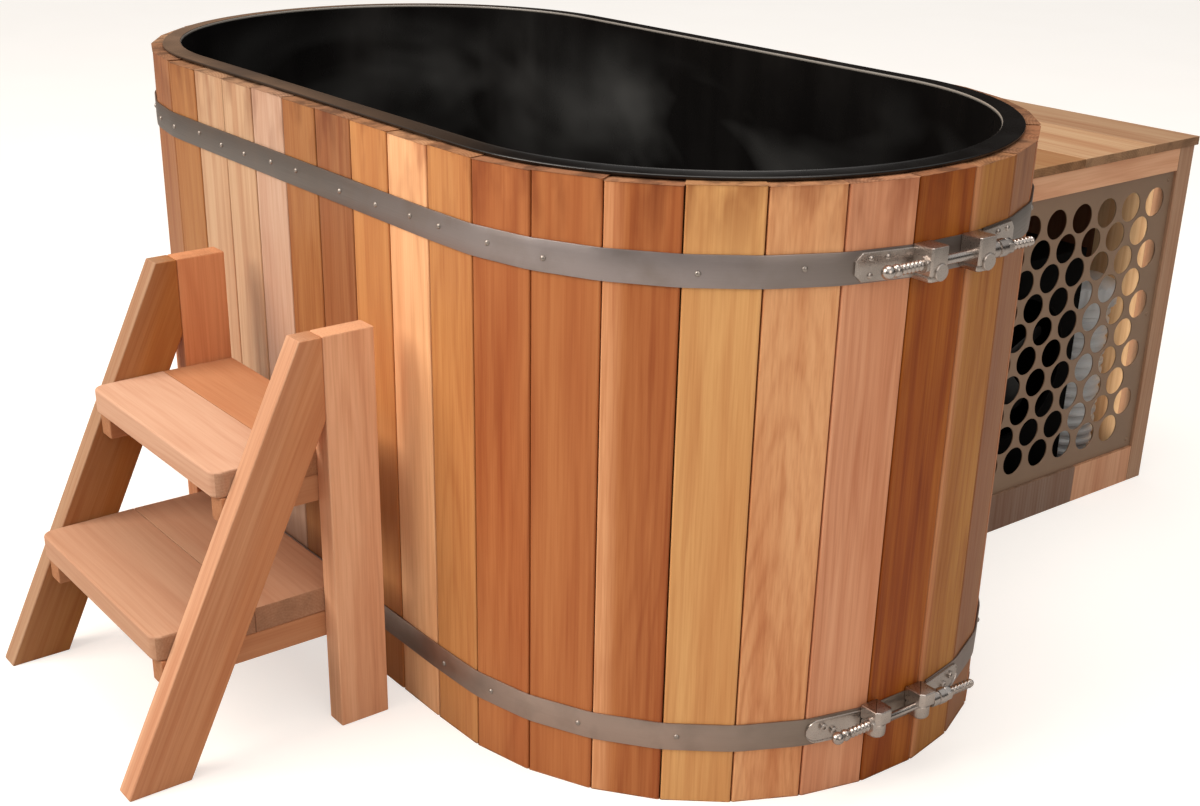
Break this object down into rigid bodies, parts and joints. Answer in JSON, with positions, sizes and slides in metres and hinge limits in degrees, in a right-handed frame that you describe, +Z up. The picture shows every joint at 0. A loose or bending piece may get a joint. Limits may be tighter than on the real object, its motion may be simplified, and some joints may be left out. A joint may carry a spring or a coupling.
{
  "type": "cold plunge tub",
  "caption": "Oval wooden stave tub with a black liner and drawn steel hoops, loose wooden steps, and a grilled cabinet with a lifting lid that chills and filters the water.",
  "frame": {"origin": "on the floor under the middle of the tub, at the underside of the middle floor joist", "axes": "+X along the tub towards the end with the hoop lugs, +Y from the steps towards the equipment cabinet, +Z up"},
  "size_m": [1.5627, 1.877, 0.7663],
  "materials": {
    "stave_cedar": "smooth oiled",
    "frame_timber": "sawn",
    "step_cedar": "planed",
    "cabinet_cedar": "planed",
    "liner_plastic": "glossy black",
    "hoop_steel": "brushed",
    "lug_steel": "cast, satin",
    "bolt_steel": "threaded",
    "grille_paint": "grey-bronze",
    "casing_paint": "satin black",
    "fan_plastic": "matte black",
    "filter_plastic": "blue-grey",
    "fitting_plastic": "black",
    "hose_rubber": "smooth",
    "valve_brass": "cast",
    "hinge_steel": "plain"
  },
  "bodies": {
    "tub": {"staves_1": "stave_cedar", "staves_2": "stave_cedar", "staves_3": "stave_cedar", "staves_4": "stave_cedar", "staves_5": "stave_cedar", "tub_floor": "frame_timber", "floor_joist_1": "frame_timber", "floor_joist_2": "frame_timber", "floor_joist_3": "frame_timber", "liner": "liner_plastic", "lower_hoop": "hoop_steel", "lower_left_lug": "lug_steel", "lower_right_lug": "lug_steel", "lower_draw_bolt": "bolt_steel", "upper_hoop": "hoop_steel", "upper_left_lug": "lug_steel", "upper_right_lug": "lug_steel", "upper_draw_bolt": "bolt_steel", "suction_fitting": "fitting_plastic", "return_fitting": "fitting_plastic", "drain_valve": "valve_brass", "cabinet_front_tub_side_post": "cabinet_cedar", "cabinet_front_outer_post": "cabinet_cedar", "cabinet_front_top_rail": "cabinet_cedar", "cabinet_front_bottom_rail": "cabinet_cedar", "cabinet_rear_tub_side_post": "cabinet_cedar", "cabinet_rear_outer_post": "cabinet_cedar", "cabinet_rear_top_rail": "cabinet_cedar", "cabinet_rear_bottom_rail": "cabinet_cedar", "cabinet_floor": "frame_timber", "cabinet_outer_panel": "cabinet_cedar", "cabinet_tub_side_panel": "cabinet_cedar", "cabinet_front_grille": "grille_paint", "cabinet_rear_grille": "grille_paint", "lid_hinge_fixed_leaf": "hinge_steel", "chiller_casing": "casing_paint", "filter_housing": "filter_plastic", "filter_pipe": "hose_rubber", "suction_hose": "hose_rubber", "return_hose": "hose_rubber"},
    "lid": {"cabinet_lid": "cabinet_cedar", "lid_hinge_moving_leaf": "hinge_steel"},
    "fan": {"chiller_fan": "fan_plastic"},
    "lower_draw_collar": {"lower_collar": "bolt_steel"},
    "lower_draw_nut": {"lower_nut": "bolt_steel"},
    "upper_draw_collar": {"upper_collar": "bolt_steel"},
    "upper_draw_nut": {"upper_nut": "bolt_steel"},
    "lever": {"drain_lever": "hinge_steel"},
    "steps": {"step_left_leg": "step_cedar", "step_left_post": "step_cedar", "step_right_leg": "step_cedar", "step_right_post": "step_cedar", "lower_tread_front": "step_cedar", "lower_tread_rear": "step_cedar", "lower_left_cleat": "step_cedar", "lower_right_cleat": "step_cedar", "upper_tread_front": "step_cedar", "upper_tread_rear": "step_cedar", "upper_left_cleat": "step_cedar", "upper_right_cleat": "step_cedar"}
  },
  "joints": [
    {"name": "lid_hinge", "type": "hinge", "parent": "tub", "child": "lid", "pos_m": [-0.01, 0.4257, 0.592], "axis": [1, 0, 0], "range_deg": [0, 93]},
    {"name": "fan_spin", "type": "hinge", "parent": "tub", "child": "fan", "pos_m": [0.28, 0.715, 0.2583], "axis": [1, 0, 0], "continuous": true},
    {"name": "lower_collar_slide", "type": "slide", "parent": "tub", "child": "lower_draw_collar", "axis": [0.0285, 0.9996, 0], "range_m": [0, 0.007]},
    {"name": "lower_nut_turn", "type": "hinge", "parent": "lower_draw_collar", "child": "lower_draw_nut", "pos_m": [0.77344, -0.01186, 0.0975], "axis": [0.0285, 0.9996, 0], "range_deg": [0, 1446]},
    {"name": "upper_collar_slide", "type": "slide", "parent": "tub", "child": "upper_draw_collar", "axis": [0.0285, 0.9996, 0], "range_m": [0, 0.007]},
    {"name": "upper_nut_turn", "type": "hinge", "parent": "upper_draw_collar", "child": "upper_draw_nut", "pos_m": [0.77344, -0.01186, 0.6705], "axis": [0.0285, 0.9996, 0], "range_deg": [0, 1446]},
    {"name": "drain_lever_turn", "type": "hinge", "parent": "tub", "child": "lever", "pos_m": [-0.71829, 0.23484, 0.1713], "axis": [0, 0, -1], "range_deg": [0, 90]},
    {"name": "steps_pull", "type": "slide", "parent": "tub", "child": "steps", "axis": [0, -1, 0], "range_m": [0, 0.3]}
  ],
  "couplings": [
    {"joint": "lower_nut_turn", "follows": "lower_collar_slide", "rad_per_m": 3590.4},
    {"joint": "upper_nut_turn", "follows": "upper_collar_slide", "rad_per_m": 3590.4}
  ]
}
